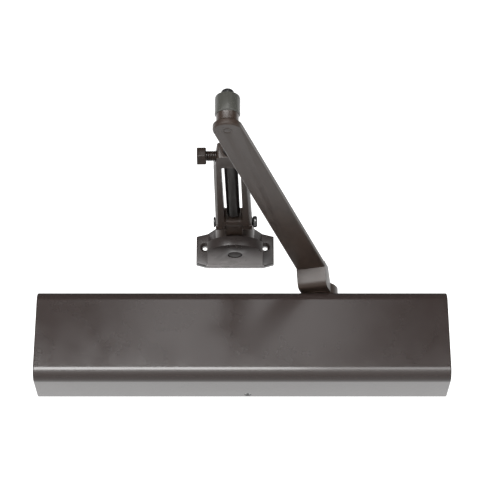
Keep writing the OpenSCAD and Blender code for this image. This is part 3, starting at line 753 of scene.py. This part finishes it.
def build_world():
    """Soft surround: white to the eye, brighter behind and below than above."""
    world = bpy.data.worlds.new("studio")
    bpy.context.scene.world = world
    world.use_nodes = True
    tree = world.node_tree
    tree.nodes.clear()
    direction = tree.nodes.new("ShaderNodeTexCoord").outputs["Generated"]
    parts = add_node(tree, "ShaderNodeSeparateXYZ", {"Vector": direction})
    behind = remap(tree, parts.outputs["Y"], -0.15, 0.45)
    high = remap(tree, parts.outputs["Z"], 0.45, 0.8)
    lit = maths(tree, "MULTIPLY", behind, maths(tree, "SUBTRACT", 1.0, high))
    strength = maths(tree, "ADD", maths(tree, "MULTIPLY", lit, 1.5), 0.12)
    seen = tree.nodes.new("ShaderNodeLightPath").outputs["Is Camera Ray"]
    white = maths(tree, "MAXIMUM", strength, maths(tree, "MULTIPLY", seen, 1.05))
    background = add_node(tree, "ShaderNodeBackground", {"Color": (1, 1, 1, 1), "Strength": white})
    output = tree.nodes.new("ShaderNodeOutputWorld")
    tree.links.new(background.outputs[0], output.inputs[0])


def build_floor():
    """Plain pale floor well below the closer, with a painted glow of its own that is brighter behind."""
    deselect()
    bpy.ops.mesh.primitive_plane_add(size=24, location=(0, 0, CAD_BOX[0][2] - sizes().floor_drop))
    floor = name_new("floor")
    material, tree, shader, vector = start_material("pale_floor", 0.7)
    parts = add_node(tree, "ShaderNodeSeparateXYZ", {"Vector": vector})
    change = use_group(tree, "Mottle", vector, Scale=3.0, Amount=0.04)
    tone = blend_colours(tree, maths(tree, "ADD", change, 0.5, True),
                         shade(colours().floor, 0.97), shade(colours().floor, 1.03))
    tree.links.new(tone, shader.inputs["Base Color"])
    # The floor glows, faint in front and strong behind: painted light that the closer's faces reflect and are lit
    # by.
    shader.inputs["Emission Color"].default_value = (1, 1, 1, 1)
    glow = remap(tree, parts.outputs["Y"], -0.3, 1.2, 0.02, 1.6)
    tree.links.new(glow, shader.inputs["Emission Strength"])
    floor.data.materials.append(material)


def build_camera():
    """Camera in front of the closer and below it, looking up."""
    camera = bpy.data.cameras.new("camera")
    camera.lens = CAMERA_LENS
    camera.sensor_width = CAMERA_SENSOR
    camera.clip_end = 50
    obj = bpy.data.objects.new("camera", camera)
    obj.location = CAMERA_PLACE
    obj.rotation_euler = (CAMERA_TILT, 0, 0)
    bpy.context.scene.collection.objects.link(obj)
    bpy.context.scene.camera = obj


# ---- Operators ----


class CLOSER_OT_materials(bpy.types.Operator):
    """Make the finishes and put them on the design's nodes"""

    bl_idname = "closer.materials"
    bl_label = "Finishes"

    def execute(self, context):
        make_materials()
        return {"FINISHED"}


class CLOSER_OT_stage(bpy.types.Operator):
    """Set the floor, the surround, the lights and the camera"""

    bl_idname = "closer.stage"
    bl_label = "Stage"

    def execute(self, context):
        context.scene.view_settings.view_transform = "Standard"
        build_world()
        build_floor()
        build_camera()
        for box in SOFTBOXES:
            softbox(*box)
        return {"FINISHED"}


class CLOSER_OT_body(bpy.types.Operator):
    """Round the cast housing and wind its spring"""

    bl_idname = "closer.body"
    bl_label = "Housing and spring"

    def execute(self, context):
        build_body()
        build_spring()
        return {"FINISHED"}


class CLOSER_OT_cover(bpy.types.Operator):
    """Fold the sheet cover"""

    bl_idname = "closer.cover"
    bl_label = "Cover"

    def execute(self, context):
        build_cover()
        return {"FINISHED"}


class CLOSER_OT_main_arm(bpy.types.Operator):
    """Forge the main arm and turn its screw"""

    bl_idname = "closer.main_arm"
    bl_label = "Main arm"

    def execute(self, context):
        build_main_arm()
        return {"FINISHED"}


class CLOSER_OT_elbow(bpy.types.Operator):
    """Stack the elbow's socket, stud, washer and nut"""

    bl_idname = "closer.elbow"
    bl_label = "Elbow"

    def execute(self, context):
        build_elbow()
        return {"FINISHED"}


class CLOSER_OT_forearm(bpy.types.Operator):
    """Build the forearm's frame, pin and clamp bolt"""

    bl_idname = "closer.forearm"
    bl_label = "Forearm"

    def execute(self, context):
        build_forearm()
        return {"FINISHED"}


class CLOSER_OT_foot(bpy.types.Operator):
    """Build the swivel block and the foot bracket"""

    bl_idname = "closer.foot"
    bl_label = "Foot"

    def execute(self, context):
        build_foot()
        return {"FINISHED"}


STEPS = (CLOSER_OT_materials, CLOSER_OT_stage, CLOSER_OT_body, CLOSER_OT_cover,
         CLOSER_OT_main_arm, CLOSER_OT_elbow, CLOSER_OT_forearm, CLOSER_OT_foot)


class CLOSER_PT_panel(bpy.types.Panel):
    """The closer's sizes, colours and steps"""

    bl_idname = "CLOSER_PT_panel"
    bl_label = "Door closer"
    bl_space_type = "VIEW_3D"
    bl_region_type = "UI"
    bl_category = "Door closer"

    def draw(self, context):
        column = self.layout.column()
        for group in (context.scene.closer_sizes, context.scene.closer_colours):
            for label in group.__annotations__:
                column.prop(group, label)
        for step in STEPS:
            column.operator(step.bl_idname)


CLASSES = (CloserSizes, CloserColours, *STEPS, CLOSER_PT_panel)


def register():
    """Adds the panel, its steps and its settings."""
    for kind in CLASSES:
        bpy.utils.register_class(kind)
    bpy.types.Scene.closer_sizes = bpy.props.PointerProperty(type=CloserSizes)
    bpy.types.Scene.closer_colours = bpy.props.PointerProperty(type=CloserColours)


def unregister():
    """Takes away what register adds."""
    del bpy.types.Scene.closer_colours
    del bpy.types.Scene.closer_sizes
    for kind in reversed(CLASSES):
        bpy.utils.unregister_class(kind)


def main():
    """Runs every step."""
    register()
    bpy.ops.closer.materials()
    bpy.ops.closer.stage()
    bpy.ops.closer.body()
    bpy.ops.closer.cover()
    bpy.ops.closer.main_arm()
    bpy.ops.closer.elbow()
    bpy.ops.closer.forearm()
    bpy.ops.closer.foot()


if __name__ == "__main__":
    main()
